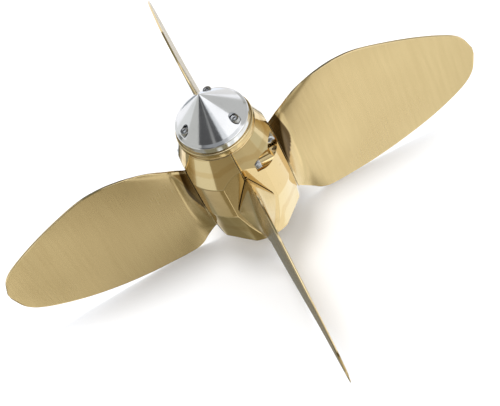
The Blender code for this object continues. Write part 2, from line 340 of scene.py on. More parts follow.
def makeTurningGroup():
    # rings left by the lathe: noise read along the distance from the Z axis less the height,
    # so it is even all the way round
    inputs = {"Rings": 2500.0, "Bands": 250.0}
    tree, given, out = startGroup("turning marks", inputs, ("Height", "Bands"))
    parts = addNode(tree, "SeparateXYZ", {0: given["Place"]}).outputs
    flat = addNode(tree, "CombineXYZ", {"X": parts[0], "Y": parts[1]}).outputs[0]
    radius = addNode(tree, "VectorMath", {0: flat}, operation="LENGTH").outputs["Value"]
    along = mathNode(tree, "SUBTRACT", radius, parts[2])
    rings = lineNoise(tree, times(tree, along, given["Rings"]), 2.0)
    bands = lineNoise(tree, times(tree, along, given["Bands"]), 1.0)
    tree.links.new(rings, out["Height"])
    tree.links.new(bands, out["Bands"])
    return tree


def makeTarnishGroup():
    # clouds: noise kept between the level and a top; specks: the crests of a finer noise
    inputs = {"Clouds": 18.0, "Specks": 160.0, "Level": 0.5, "Detail": 4.0}
    tree, given, out = startGroup("tarnish", inputs, ("Mask", "Specks"))
    cloudTop = 0.78
    speckLow, speckHigh = 0.64, 0.75
    clouds = noiseNode(tree, given["Place"], given["Clouds"], given["Detail"])
    specks = noiseNode(tree, given["Place"], given["Specks"], 3.0)
    tree.links.new(rangeNode(tree, clouds, given["Level"], cloudTop, smooth=True), out["Mask"])
    tree.links.new(rangeNode(tree, specks, speckLow, speckHigh, smooth=True), out["Specks"])
    return tree


def makeEdgeGroup():
    # worn edges: the piece's edge attribute plus a noise about zero, kept between two levels
    tree, given, out = startGroup("edge wear", {"Edge": 0.0, "Breakup": 220.0}, ("Mask",))
    wearLow, wearHigh = 0.35, 0.8
    noise = noiseNode(tree, given["Place"], given["Breakup"], 2.0)
    level = mathNode(tree, "ADD", given["Edge"], raised(tree, -0.25, noise, 0.5))
    tree.links.new(rangeNode(tree, level, wearLow, wearHigh, smooth=True), out["Mask"])
    return tree


effects = {
    "scratches": makeScratchGroup(),
    "turning": makeTurningGroup(),
    "tarnish": makeTarnishGroup(),
    "edges": makeEdgeGroup(),
}

# Finishes, one dictionary for each metal. Colours are linear. Tarnish is the share of the
# tarnished colour in the clouds, haze the roughness that they add; turning and waves are heights
bodyFinish = {
    "colour": (0.79, 0.60, 0.31), "tarnished": (0.50, 0.33, 0.13), "rubbed": (0.88, 0.72, 0.42),
    # the near-black colour on the next line is painted shade, laid in the seams' gaps
    "gapShade": (0.05, 0.028, 0.012), "roughness": 0.10, "haze": 0.08, "tarnish": 0.30, "waves": 1.6,
}
bladeFinish = {
    "colour": (0.78, 0.61, 0.33), "tarnished": (0.56, 0.40, 0.18), "rubbed": (0.86, 0.70, 0.42),
    # the next two colours are painted shade: near-black in the gap under each foot's rim, and dark
    # brown for the lens by each foot that stands for the dark reflection in its fillet
    "gapShade": (0.045, 0.024, 0.01), "paintedFootShade": (0.12, 0.075, 0.028),
    "roughness": 0.17, "haze": 0.06, "tarnish": 0.12, "specks": 0.05, "rubbing": 0.6,
    "clouds": {"Clouds": 12.0, "Specks": 120.0, "Level": 0.2, "Detail": 1.0},
    "brushLines": {"Across": 1400.0, "Along": 18.0}, "lineDepth": 0.07, "lineHaze": 0.08,
    "streakLines": {"Across": 260.0, "Along": 14.0}, "streakRange": (0.35, 0.7), "streaks": 0.15,
    "rubbedHaze": -0.12, "bump": 0.3,
}
capFinish = {
    "colour": (0.70, 0.53, 0.27), "tarnished": (0.42, 0.27, 0.10), "rubbed": (0.90, 0.74, 0.44),
    "roughness": 0.14, "haze": 0.10, "tarnish": 0.5, "turning": 0.10,
}
anodeFinish = {
    "colour": (0.82, 0.83, 0.85), "tarnished": (0.55, 0.56, 0.58), "rubbed": (0.92, 0.92, 0.93),
    "roughness": 0.10, "haze": 0.12, "tarnish": 0.3, "turning": 0.22,
}
steelFinish = {
    "colour": (0.60, 0.61, 0.63), "tarnished": (0.30, 0.30, 0.31), "rubbed": (0.80, 0.80, 0.82),
    "roughness": 0.16, "haze": 0.12, "tarnish": 0.5,
}
hubFinish = {
    "colour": (0.68, 0.49, 0.23), "tarnished": (0.34, 0.22, 0.09), "rubbed": (0.80, 0.62, 0.34),
    "roughness": 0.24, "haze": 0.14, "tarnish": 0.6, "turning": 0.25,
}
# What holds for each finish that doesn't say otherwise
anyFinish = {
    "specks": 0.35, "rubbing": 0.7,                         # shares of colour
    "lineHaze": 0.12, "gapShadeHaze": 0.4, "bandHaze": 0.06,   # added roughness
    "lineDepth": -0.3, "waveScale": 55.0, "bump": 0.25,
    "bumpReach": 0.0001,                                    # metres
}


def metalLook(name, finish):
    # colour: base, darkened by clouds, streaks and specks, lightened on worn edges, then painted
    # shade in gaps and a painted dark lens by the blade feet; roughness: base plus haze, fine
    # lines, wear, the shaded gaps and lathe bands; height: fine lines, lathe rings and slow waves
    finish = {**anyFinish, **finish}
    made = bpy.data.materials.new(name)
    made.use_nodes = True
    tree = made.node_tree
    shader = tree.nodes["Principled BSDF"]
    place = addNode(tree, "TexCoord").outputs["Object"]
    tarnish = useEffect(tree, "tarnish", place, finish.get("clouds"))
    wear = useEffect(tree, "edges", place, {"Edge": attributeOf(tree, "edge")})["Mask"]
    layers = [(times(tree, tarnish["Mask"], finish["tarnish"]), finish["tarnished"])]
    rough = raised(tree, finish["roughness"], tarnish["Mask"], finish["haze"])
    if "brushLines" in finish:
        # brush lines and faint streaks run across the blade from edge to edge
        own = {"Vector": attributeOf(tree, "bladePlace", "Vector"),
               "Rotation": (math.radians(90), 0, 0)}
        turned = addNode(tree, "Mapping", own).outputs[0]
        lines = useEffect(tree, "scratches", turned, finish["brushLines"])["Grain"]
        streaks = useEffect(tree, "scratches", turned, finish["streakLines"])["Grain"]
        streaky = rangeNode(tree, streaks, *finish["streakRange"], 0.0, finish["streaks"])
        layers.append((streaky, finish["tarnished"]))
    else:
        lines = useEffect(tree, "scratches", place)["Mask"]
    layers.append((times(tree, tarnish["Specks"], finish["specks"]), finish["tarnished"]))
    layers.append((times(tree, wear, finish["rubbing"]), finish["rubbed"]))
    rough = raised(tree, rough, lines, finish["lineHaze"])
    height = times(tree, lines, finish["lineDepth"])
    if "rubbedHaze" in finish:
        rough = raised(tree, rough, wear, finish["rubbedHaze"])
    # painted shade: the mesh's gap mask lays a near-black colour in the gaps, which are also made
    # rougher
    if "gapShade" in finish:
        gapShadeMask = attributeOf(tree, "paintedGapShade")
        layers.append((gapShadeMask, finish["gapShade"]))
        rough = raised(tree, rough, gapShadeMask, finish["gapShadeHaze"])
    # painted shade: a dark lens by each blade foot, standing for the dark reflection in its fillet
    if "paintedFootShade" in finish:
        layers.append((attributeOf(tree, "paintedFootShade"), finish["paintedFootShade"]))
    if "turning" in finish:
        rings = useEffect(tree, "turning", place)
        height = raised(tree, height, rings["Height"], finish["turning"])
        rough = raised(tree, rough, rings["Bands"], finish["bandHaze"])
    if "waves" in finish:
        waves = noiseNode(tree, place, finish["waveScale"], 1.0)
        height = raised(tree, height, waves, finish["waves"])
    bump = {"Height": height, "Strength": finish["bump"], "Distance": finish["bumpReach"]}
    shader.inputs["Metallic"].default_value = 1.0
    tree.links.new(layered(tree, finish["colour"], layers), shader.inputs["Base Color"])
    tree.links.new(rough, shader.inputs["Roughness"])
    tree.links.new(addNode(tree, "Bump", bump).outputs[0], shader.inputs["Normal"])
    return made


looks = {
    "body_bronze": metalLook("polished bronze", bodyFinish),
    "blade_bronze": metalLook("ground blade bronze", bladeFinish),
    "cap_bronze": metalLook("turned cap bronze", capFinish),
    "anode_metal": metalLook("turned bare metal", anodeFinish),
    "screw_steel": metalLook("bright screw steel", steelFinish),
    "hub_bronze": metalLook("machined hub bronze", hubFinish),
}
print("materials made:", len(looks))


# Body quarters

body = {
    "bottom": -57, "bottomRadius": 45.0,
    "bottomFlat": 41.7,       # distance of the rim's flat between two blades
    "waist": -3, "beltRadius": 50.4, "shoulder": 43.5,
    "top": 77, "topRadius": 38.3, "topRing": 30, "chamfer": 1.2,
    "padDistance": 45.5,      # flat that each blade's foot turns on
    "padLean": 0.5,           # degrees that its two halves fall away from the seam
    "padCrown": 0.05,         # radians over which this lean sets in
    "padFoot": 0.93,          # the pad ends at most this share of the way from waist to bottom
    "bore": 25.9, "boreChamfer": 0.5, "capBore": 20, "capChamfer": 0.4, "capFloor": 62,
    "seamGap": 0.3, "seamRound": 0.5,
    "seamDepth": 4,           # the seam's rounding ends this far from the bore
    "edgeRound": 0.4, "padRound": 0.32, "beltRound": 0.18, "rimRound": 0.6,
    "columns": 120,
    "rows": ((26, 0.7), (44, 0.8), (32, 0.7)),   # count and crowding under, beside and over the pad
    "chamferRows": 4, "crownRows": 5,
    # the last two on the next line set the painted shade in the seam gaps: its gain over the
    # rounding's drop, and its most
    "wearGain": 32, "chamferWear": 0.8, "gapShadeGain": 1.1, "gapShadeMost": 0.8,
    "journalBore": 15.3, "collarBore": 19.6, "collarSeat": 36, "boreStart": 10, "boreEnd": 60,
    "boltHeight": 48.5, "boltDistance": 39.5, "boltSeat": 15, "boltEnd": -14.3, "boltBore": 3.3,
    "boltGap": 0.3, "boltFacets": 32, "pocketRadius": 7.3, "pocketEnd": 60, "pocketFacets": 72,
    "pockets": {0: ("front", "right"), 2: ("back", "left")},   # bolt heads sunk in each quarter
}


def quarterAngles():
    # angles 0..90 degrees, closer where the weight is high: a base, plus a bell at each
    # seam and at each pad's side
    base, seamBell, padBell = 0.6, (1.0, 5), (1.6, 3)   # a bell's width in degrees and its gain
    fine = np.linspace(0, 90, 3601)
    padSide = math.degrees(math.acos(body["padDistance"] / body["beltRadius"])) + body["padLean"]
    weight = np.full_like(fine, base)
    bells = ((0, seamBell), (90, seamBell), (padSide, padBell), (90 - padSide, padBell))
    for centre, (width, gain) in bells:
        weight += gain * np.exp(-((fine - centre) / width) ** 2)
    travelled = np.concatenate([[0], np.cumsum((weight[1:] + weight[:-1]) / 2)])
    wanted = np.linspace(0, travelled[-1], body["columns"])
    return np.radians(np.interp(wanted, travelled, fine))


def quarterSide(a):
    # side r(a, z) = soft least of lower cone, belt, upper cone and pad; heights run from the
    # lower chamfer over the pad's two ends to the upper chamfer; wear follows the curvature
    fromBlade = np.minimum(a, np.pi / 2 - a)
    lean = math.radians(body["padLean"]) * np.clip(fromBlade / body["padCrown"], 0, 1)
    flat = body["padDistance"] / np.cos(fromBlade - lean)
    rimFlat = body["bottomFlat"] / np.cos(a - np.pi / 4)
    rim = softMin(body["bottomRadius"], rimFlat, body["rimRound"])
    waist, belt, shoulder = body["waist"], body["beltRadius"], body["shoulder"]
    floor = body["bottom"] + body["chamfer"]
    ceiling = body["top"] - body["chamfer"]
    lowRise = waist - body["bottom"]
    topRise = ceiling - shoulder
    topFall = belt - body["topRadius"]
    nearest = np.minimum(flat, belt)
    lowEdge = waist - lowRise * np.clip((belt - nearest) / (belt - rim), 0, body["padFoot"])
    topEdge = shoulder + topRise * (belt - nearest) / topFall
    under, beside, over = (crowdedSteps(count, crowd)[:, None] for count, crowd in body["rows"])
    z = np.vstack([floor + (lowEdge - floor) * under[:-1],
                   lowEdge + (topEdge - lowEdge) * beside[:-1],
                   topEdge + (ceiling - topEdge) * over])
    lower = belt - (belt - rim) * (waist - z) / lowRise
    upper = belt - topFall * (z - shoulder) / topRise
    r = softMin(softMin(lower, belt, body["beltRound"]), upper, body["edgeRound"])
    r = softMin(r, flat, body["padRound"])
    bend = np.abs(np.gradient(np.gradient(r, axis=0), axis=0))
    return rim, r, z, np.clip(body["wearGain"] * bend, 0, 1)


def quarterGrid():
    # closed outline at each angle a: lower chamfer, side, upper chamfer, top, cap seat and bore
    a = quarterAngles()
    rim, r, z, worn = quarterSide(a)
    bottom, top, chamfer, lip = (body[key] for key in ("bottom", "top", "chamfer", "seamRound"))
    bore, boreChamfer, capBore = body["bore"], body["boreChamfer"], body["capBore"]
    low = np.linspace(0, np.pi / 2, body["chamferRows"] + 1)[:-1, None]
    high = np.linspace(0, np.pi / 2, body["crownRows"] + 1)[1:, None]
    around = np.ones_like(a)
    inner = np.array([
        (body["topRing"], top), (capBore + body["capChamfer"], top),
        (capBore, top - body["capChamfer"]), (capBore, body["capFloor"]),
        (bore, body["capFloor"]), (bore, bottom + boreChamfer), (bore + boreChamfer, bottom)])
    lowR = rim - chamfer * (1 - np.sin(low))
    lowZ = (bottom + chamfer * (1 - np.cos(low))) * around
    topR = (body["topRadius"] - chamfer * (1 - np.cos(high))) * around
    topZ = (top - chamfer + chamfer * np.sin(high)) * around
    allR = np.vstack([lowR, r, topR, inner[:, :1] * around])
    allZ = np.vstack([lowZ, z, topZ, inner[:, 1:] * around])
    edge = np.vstack([np.full_like(lowR, body["chamferWear"]), worn,
                      np.full_like(topR, body["chamferWear"]), np.zeros((len(inner), len(a)))])
    # seam faces stand half the gap off the seam plane, with a rounded outer edge
    half = body["seamGap"] / 2
    bend = np.arcsin(half / allR)
    turned = bend + (np.pi / 2 - 2 * bend) * (a / (np.pi / 2))
    fromSeam = allR * np.sin(np.minimum(turned, np.pi / 2 - turned)) - half
    reach = np.clip(lip - fromSeam, 0, lip)
    drop = lip - np.sqrt(lip ** 2 - reach ** 2)
    outside = allR > bore + body["seamDepth"]
    allR = allR - np.where(outside, drop, 0)
    edge = np.maximum(edge, np.where(outside, reach / lip, 0))
    # painted shade in the seam gap: darker where the rounded edge has dropped further into it
    sunk = np.clip(drop / lip * body["gapShadeGain"], 0, body["gapShadeMost"])
    grid = np.stack([allR * np.cos(turned), allR * np.sin(turned), allZ], -1)
    return grid, {"edge": np.clip(edge, 0, 1), "paintedGapShade": np.where(outside, sunk, 0)}


def boltPlaces():
    # bolt axes, own +Z from the thread to the head, each crossing one seam
    shift = body["boltDistance"] * mm
    height = body["boltHeight"] * mm
    front = Matrix.Translation((0, -shift, height)) @ alongX()
    right = Matrix.Translation((shift, 0, height)) @ Matrix.Rotation(math.radians(90), 4, "X")
    half = Matrix.Rotation(math.pi, 4, "Z")
    return {"front": front, "right": right, "back": half @ front, "left": half @ right}


def quarterTools(index):
    # bores of the two blades at this quarter's seams, and the holes and pockets of their bolts
    tools = []
    seams = (index, (index + 1) % 4)
    for seam in seams:
        place = lifted() @ bladeDirection(seam) @ alongX()
        tools.append(roundTool(body["journalBore"], body["boreStart"], body["boreEnd"], place))
        tools.append(roundTool(body["collarBore"], body["boreStart"], body["collarSeat"], place))
    seat, facets = body["boltSeat"], body["boltFacets"]
    for number, (side, bolt) in enumerate(boltPlaces().items()):
        place = lifted() @ bolt
        if number in seams:
            end = seat + propeller["overcut"]
            tools.append(roundTool(body["boltBore"], body["boltEnd"], end, place, facets))
        if side in body["pockets"].get(index, ()):
            end = body["pocketEnd"]
            tools.append(roundTool(body["pocketRadius"], seat, end, place, body["pocketFacets"]))
    return tools


def makeBody():
    # one grid turned to the four quarters, each with its own holes cut
    grid, masks = quarterGrid()
    rows, cols = grid.shape[:2]
    ends = [np.arange(rows) * cols, np.arange(rows)[::-1] * cols + cols - 1]
    for index, node in enumerate(("front_right", "back_right", "back_left", "front_left")):
        name = "bodyQuarter" + node.title().replace("_", "")
        place = lifted() @ bladeDirection(index)
        mesh = surfaceMesh(name, grid, wrapRows=True, caps=ends, masks=masks, place=place)
        mesh = cutMesh(mesh, quarterTools(index))
        fitPiece(mesh, name, "body_quarter_" + node, "body", "body_bronze")
    print("body quarters made:", rows, "x", cols, "grid each")


# Blades: x runs outwards from the shaft axis, z up, y across the blade

blade = {
    "tip": 260, "foot": 45.8,
    # outlines as (x, z), from the foot to the tip
    "upper": [(45.8, 45.5), (62, 56.5), (82, 69.6), (106, 78.2), (130, 81.5), (156, 77.6),
              (200, 59.3), (235, 39.5), (252, 24.5), (260, 4)],
    "lower": [(45.8, -54), (60, -69), (68, -76.5), (79, -80), (105, -79.4), (130, -77.6),
              (165, -71.6), (202, -61), (236, -45), (253, -29), (260, -6)],
    "stations": 180, "chordPoints": 60, "crowding": 0.11,
    # half thicknesses
    "halfRoot": 5.0, "halfTip": 1.0, "halfUpperEdge": 1.1, "halfLowerEdge": 0.5,
    "thicknessStart": 50, "taperPower": 2.0, "sectionPower": 2.0, "edgeRound": 0.35,
    # sideways bend
    "bendStart": 60, "bendEnd": 190, "bendSlope": 0.018, "bendCamber": 0.012, "bendRound": 20,
    # pointed foot and its flare
    "footHalfWidth": 19.3, "footEndHalfWidth": 4.2, "footWidest": 3.7,
    "footUpper": 45.5, "footLower": -54, "footUpperPower": 1.06, "footLowerPower": 1.15,
    "flareLength": 18, "flarePower": 2.2, "pointClimb": 0.68, "ridgeRound": 1.2,
    "rimHeight": 1.2, "rimGap": 0.3, "rimInset": 0.45, "neckStart": -4, "neckFade": 10,
    "rimWear": 0.7, "wearReach": 1.6,
    # painted dark lens by the foot, standing for the dark reflection in its fillet, as (z, share of
    # its reach); pairs are for the two faces
    "paintedFootShadeLens": [(-2, 0), (2, 0.3), (6, 0.58), (12, 0.84), (18, 0.97), (24, 1.0), (32, 0.95),
                   (42, 0.84), (50, 0.72), (60, 0.6)],
    "paintedFootShadeReach": (15.2, 9.6), "paintedFootShadeInner": (0.94, 0.62), "paintedFootShadeBand": 3.2, "paintedFootShadeSharp": 0.8,
    # strength of that painted dark lens, blade by blade, as each foot's fillet mirrors darker or
    # lighter surroundings
    "paintedFootShade": {"front": 0.06, "right": 1.0, "back": 0.6, "left": 1.0},
    # journal and collar inside the body
    "journal": 15, "collar": 19, "collarInner": 27, "collarOuter": 35.6, "collarRound": 0.6,
    "journalRound": 0.4, "journalEnd": 46.1, "journalFacets": 96,
}


def smoothPath(points, shares):
    # Catmull-Rom curve through the points, read at shares of its length
    points = np.array(points, dtype=float)
    padded = np.vstack([points[:1], points, points[-1:]])
    t = np.linspace(0, 1, 40, endpoint=False)[None, :, None]
    before, start, end, after = (padded[k:len(points) - 1 + k, None, :] for k in range(4))
    bends = (2 * start + (end - before) * t + (2 * before - 5 * start + 4 * end - after) * t ** 2
             + (3 * start - before - 3 * end + after) * t ** 3) / 2
    dense = np.vstack([bends.reshape(-1, 2), points[-1:]])
    lengths = np.linalg.norm(np.diff(dense, axis=0), axis=1)
    travelled = np.concatenate([[0], np.cumsum(lengths)])
    wanted = shares * travelled[-1]
    return np.stack([np.interp(wanted, travelled, dense[:, k]) for k in range(2)], -1)


def footWidth(x, z):
    # half width of the foot, falling both ways from its widest height by a power of the way:
    # to a point above, which climbs with x, and to a blunt end below
    widest, half = blade["footWidest"], blade["footHalfWidth"]
    point = blade["footUpper"] + blade["pointClimb"] * (x - blade["foot"])
    up = np.clip((z - widest) / (point - widest), 0, 1)
    down = np.clip((widest - z) / (widest - blade["footLower"]), 0, 1)
    above = half * (1 - up ** blade["footUpperPower"])
    below = half - (half - blade["footEndHalfWidth"]) * down ** blade["footLowerPower"]
    return np.where(z > widest, above, below)


def footFlare(x):
    # 1 at the foot, falling evenly to 0 at the flare's end
    return np.clip(1 - (x - blade["foot"]) / blade["flareLength"], 0, 1)


def paintedFootShadeMask(x, z, reach, inner):
    # painted dark lens on the foot, standing for the dark reflection in its fillet: full in a band
    # inside its border, inner nearer the pad; border = foot + reach * lens(z)
    rise, lens = np.array(blade["paintedFootShadeLens"]).T
    border = blade["foot"] + reach * np.interp(z, rise, lens, left=-1, right=-1)
    width = blade["paintedFootShadeBand"]
    inside = np.clip((border - x) / blade["paintedFootShadeSharp"], 0, 1)
    band = np.clip(1 - (border - x - width) / width, 0, 1)
    shades = inside * (inner + (1 - inner) * band)
    return np.vstack([np.zeros((3, shades.shape[1])), shades])


def sideways(x, z):
    # shift of the middle surface: eased share of (camber |z| - slope z), with |z| rounded at 0
    start = blade["bendStart"]
    share = np.clip((x - start) / (blade["bendEnd"] - start), 0, 1)
    share = share * share * (3 - 2 * share)
    across = np.hypot(z, blade["bendRound"]) - blade["bendRound"]
    return share * (blade["bendCamber"] * across - blade["bendSlope"] * z)


def halfThickness(x, z, c, fromEdge):
    # spine: root to tip by a power of the way; section: edge + (spine - edge)(1 - |c| to a power);
    # it swells to the foot's width along the flare, and both edges are rounded off
    way = (x - blade["thicknessStart"]) / (blade["tip"] - blade["thicknessStart"])
    inward = 1 - np.clip(way, 0, 1)
    tip, lowerEdge = blade["halfTip"], blade["halfLowerEdge"]
    spine = tip + (blade["halfRoot"] - tip) * inward ** blade["taperPower"]
    edge = lowerEdge + (blade["halfUpperEdge"] - lowerEdge) * (c + 1) / 2
    section = edge + (spine - edge) * (1 - np.abs(c) ** blade["sectionPower"])
    widest = footWidth(x, np.minimum(z, blade["footWidest"]))
    hollow = footFlare(x) ** blade["flarePower"]
    swelling = section + np.clip(widest - section, 0, None) * hollow
    half = softMin(swelling, np.maximum(section, footWidth(x, z)), blade["ridgeRound"])
    blunt = np.clip(1 - fromEdge / blade["edgeRound"], 0, 1)
    return half * np.sqrt(1 - blunt ** 2)


def bladeGrid():
    # loop at share s of both outlines: middle = lower + (upper - lower)(c + 1)/2 with chord
    # c = cos, shifted sideways, plus and minus the half thickness
    s = crowdedSteps(blade["stations"], 2 * np.pi * blade["crowding"])
    upper = smoothPath(blade["upper"], s)[:, None, :]
    lower = smoothPath(blade["lower"], s)[:, None, :]
    c = np.cos(np.pi * np.arange(blade["chordPoints"] + 1) / blade["chordPoints"])[None, :]
    middle = lower + (upper - lower) * (c[..., None] + 1) / 2
    x, z = middle[..., 0], middle[..., 1]
    fromEdge = (1 - np.abs(c)) * np.linalg.norm(upper - lower, axis=-1) / 2
    half = halfThickness(x, z, c, fromEdge)
    x = x + (blade["rimGap"] + blade["rimHeight"]) * footFlare(x) ** 2
    worn = np.exp(-(fromEdge / blade["wearReach"]) ** 2) * np.ones_like(x)
    # painted dark lens by the foot, one for each face
    paintedFootShades = [paintedFootShadeMask(x, z, reach, inner)
               for reach, inner in zip(blade["paintedFootShadeReach"], blade["paintedFootShadeInner"])]
    # under the flare stand the foot's upright rim and a narrower neck, which fades downwards
    inset = 1 - blade["rimInset"] / blade["footHalfWidth"]
    centre = (blade["footUpper"] + blade["footLower"]) / 2
    fade = np.clip((z[0] - blade["neckStart"]) / blade["neckFade"], 0, 1)
    levels = np.array([[0], [blade["rimGap"]], [blade["rimGap"]]])
    narrowed = 1 - (1 - np.array([[inset], [inset], [1.0]])) * fade
    x = np.vstack([(blade["foot"] + levels) * np.ones_like(fade), x])
    half = np.vstack([half[0] * narrowed, half])
    z = np.vstack([centre + (z[0] - centre) * (1 + narrowed) / 2, z])
    worn = np.vstack([np.zeros_like(narrowed), worn])
    worn[3] = blade["rimWear"]
    # painted shade in the gap under the foot's rim, on the neck's three rows; it fades out
    # downwards, where that gap is lit
    gapShade = np.zeros_like(worn)
    gapShade[:3] = fade
    # the loop runs along one face and back along the other
    shift = sideways(x, z)
    side = np.stack([x, shift - half, z], -1)
    other = np.stack([x, shift + half, z], -1)
    faces = {"edge": (worn, worn), "paintedGapShade": (gapShade, gapShade), "paintedFootShade": paintedFootShades}
    masks = {name: np.concatenate([one, two[:, ::-1][:, 1:-1]], axis=1)
             for name, (one, two) in faces.items()}
    loop = np.concatenate([side, other[:, ::-1][:, 1:-1]], axis=1)
    return loop, {**masks, "bladePlace": loop * mm}


def makeBlades():
    # one grid and one journal turned to the four sides
    grid, masks = bladeGrid()
    rows, cols = grid.shape[:2]
    ends = [np.arange(cols), np.arange(cols)[::-1] + (rows - 1) * cols]
    journal = outline(
        blade, "axis collarInner", "collar collarInner collarRound",
        "collar collarOuter journalRound", "journal collarOuter journalRound",
        "journal journalEnd", "axis journalEnd")
    turn = Matrix.Rotation(math.radians(propeller["bladeTurn"]), 4, "X")
    for index, side in enumerate(propeller["sides"]):
        name = "blade" + side.title()
        place = lifted() @ bladeDirection(index) @ turn
        # each blade's painted dark lens gets its own strength
        own = {**masks, "paintedFootShade": masks["paintedFootShade"] * blade["paintedFootShade"][side]}
        mesh = surfaceMesh(name, grid, wrapCols=True, caps=ends, masks=own, place=place)
        joinMesh(mesh, turnedMesh("journal", journal, blade["journalFacets"], place @ alongX()))
        fitPiece(mesh, name, "blade_" + side, side + "_blade", "blade_bronze")
    print("blades made:", rows, "x", cols, "grid each")


# Hub, cap, anode and screws

hub = {
    "bottom": -60, "top": 61.6, "radius": 25.6, "taperBottom": 17.5, "taperTop": 12.5,
    "nutSeat": 40, "nutRadius": 19, "leadIn": 0.8, "topRound": 0.6, "seatRound": 0.5,
    "keyWidth": 10, "keyReach": 20.5, "keyTop": 20, "facets": 160,
}
cap = {
    "bottom": 77.3, "top": 85.2, "radius": 38.8, "edge": 1.2,
    "grooveRadius": 37, "grooveTop": 78.5, "grooveRound": 0.2, "lipRound": 0.5,
    "holeStart": 79.2, "holeEnd": 90, "holeFacets": 24, "facets": 192,
}
anode = {
    "bottom": 85.5, "bottomRound": 0.5, "rimRadius": 36.9, "rimTopRadius": 36.6, "rimTop": 92.6,
    "shoulderRound": 1.8, "ridgeRadius": 33.4, "ridge": 95, "ridgeRound": 0.6,
    "apex": 129.4, "apexRadius": 0.5, "apexRound": 0.3,
    "screwCircle": 28.5, "screwBearing": -48, "counterbore": 4.9, "bore": 2.8, "seat": 95.7,
    "facets": 256,
}
# head and shank are radii, turns the degrees that each screw's socket stands turned
anodeScrew = {
    "head": 4.3, "headHeight": 5, "shank": 2.5, "length": 16.5, "hex": 4, "ribs": 30,
    "headTop": 101, "turns": (12, 40, 71),
}
seamBolt = {
    "head": 5, "headHeight": 6, "shank": 3, "length": 29, "hex": 5, "ribs": 36,
    "turns": (5, 33, 17, 50),
}
# what both kinds of screw share
screwForm = {
    "edge": 0.1,              # rounding of the head's rim, as a share of its radius
    "tipRound": 0.4, "arcPoints": 5,
    "ribDepth": 0.018,        # share of the radius
    "pointsPerRib": 6,
    "socketDepth": 0.55,      # share of the head's height
    "socketPoint": 0.35,      # share of the socket's radius
    "socketMouth": 0.35,
}


def makeHub():
    # turned socket with its taper and nut recess; a box cuts the keyway, open at the bottom
    corners = outline(
        hub, "taperBottom bottom leadIn", "radius bottom leadIn", "radius top topRound",
        "nutRadius top topRound", "nutRadius nutSeat seatRound", "taperTop nutSeat topRound")
    mesh = turnedMesh("hubTurned", corners, hub["facets"], lifted())
    start = hub["bottom"] - 2 * propeller["overcut"]
    size = Vector((hub["keyWidth"], hub["keyReach"], hub["keyTop"] - start)) * mm
    middle = Vector((0, hub["keyReach"] / 2, (hub["keyTop"] + start) / 2)) * mm
    key = bmesh.new()
    bmesh.ops.create_cube(key, size=1)
    bmesh.ops.scale(key, vec=size, verts=key.verts)
    bmesh.ops.translate(key, vec=lifted() @ middle, verts=key.verts)
    slot = bpy.data.meshes.new("keyway")
    key.to_mesh(slot)
    key.free()
    fitPiece(cutMesh(mesh, [slot]), "hubTurned", "hub", "hub", "hub_bronze")


def screwPlaces(height=0.0):
    # places of the three anode screws at a height, 120 degrees apart
    turn = np.radians(anode["screwBearing"] + 120 * np.arange(3))
    spots = np.stack([np.cos(turn), np.sin(turn), np.zeros(3)], -1) * anode["screwCircle"] * mm
    return [lifted(height) @ Matrix.Translation(spot) for spot in spots]


def makeCap():
    # turned plate with a groove under its rim, and the screws' holes
    corners = outline(
        cap, "axis bottom", "grooveRadius bottom grooveRound", "grooveRadius grooveTop",
        "radius grooveTop lipRound", "radius top edge", "axis top")
    mesh = turnedMesh("noseCap", corners, cap["facets"], lifted())
    start, end = cap["holeStart"], cap["holeEnd"]
    holes = [roundTool(anode["bore"], start, end, spot, cap["holeFacets"])
             for spot in screwPlaces()]
    fitPiece(cutMesh(mesh, holes), "noseCap", "nose_cap", "body", "cap_bronze")


def makeAnode():
    # turned rim, land and cone, with counterbores and holes for the screws
    corners = outline(
        anode, "axis bottom", "rimRadius bottom bottomRound", "rimTopRadius rimTop shoulderRound",
        "ridgeRadius ridge ridgeRound", "apexRadius apex apexRound", "axis apex")
    mesh = turnedMesh("noseAnode", corners, anode["facets"], lifted(), arcPoints=8, longest=1.5)
    tools = []
    seat = anode["seat"]
    start, end = anode["bottom"] - 2 * propeller["overcut"], seat + propeller["overcut"]
    for spot in screwPlaces():
        for radius, low, high, facets in (("counterbore", seat, anode["apex"], 48),
                                          ("bore", start, end, 32)):
            tools.append(roundTool(anode[radius], low, high, spot, facets))
    fitPiece(cutMesh(mesh, tools), "noseAnode", "nose_anode", "body", "anode_metal")


def screwMesh(name, sizes):
    # head's underside at z = 0, ribbed side r = head (1 - depth (1 + cos(ribs a)));
    # a six-sided tool with a pointed floor and a wider mouth cuts the socket
    head, top, shank, length = (sizes[key] for key in ("head", "headHeight", "shank", "length"))
    edge = head * screwForm["edge"]
    profile, worn = roundedProfile([
        (0, -length), (shank, -length, screwForm["tipRound"]), (shank, 0), (head, 0, edge / 2),
        (head, top * 0.5), (head, top, edge * 1.3), (0, top)], screwForm["arcPoints"])
    count = sizes["ribs"] * screwForm["pointsPerRib"]
    grid = turnedGrid(profile, count)
    a = np.linspace(0, 2 * np.pi, count, endpoint=False)
    onSide = (profile[:, 0] > head - edge * 0.6)[:, None]
    ribs = 1 - onSide * screwForm["ribDepth"] * (1 + np.cos(sizes["ribs"] * a))[None, :]
    grid[..., :2] *= ribs[..., None]
    mesh = surfaceMesh(name, grid, True, True, masks={"edge": np.outer(worn, np.ones(count))})
    corner = sizes["hex"] / math.sqrt(3)
    floor = top - top * screwForm["socketDepth"]
    mouth = screwForm["socketMouth"]
    above = top + propeller["overcut"]
    hexTool = [(0, floor - corner * screwForm["socketPoint"]), (corner, floor),
               (corner, top - mouth), (corner + mouth, top), (corner + mouth, above), (0, above)]
    return cutMesh(mesh, [surfaceMesh("hex", turnedGrid(hexTool, 6), True, True)])


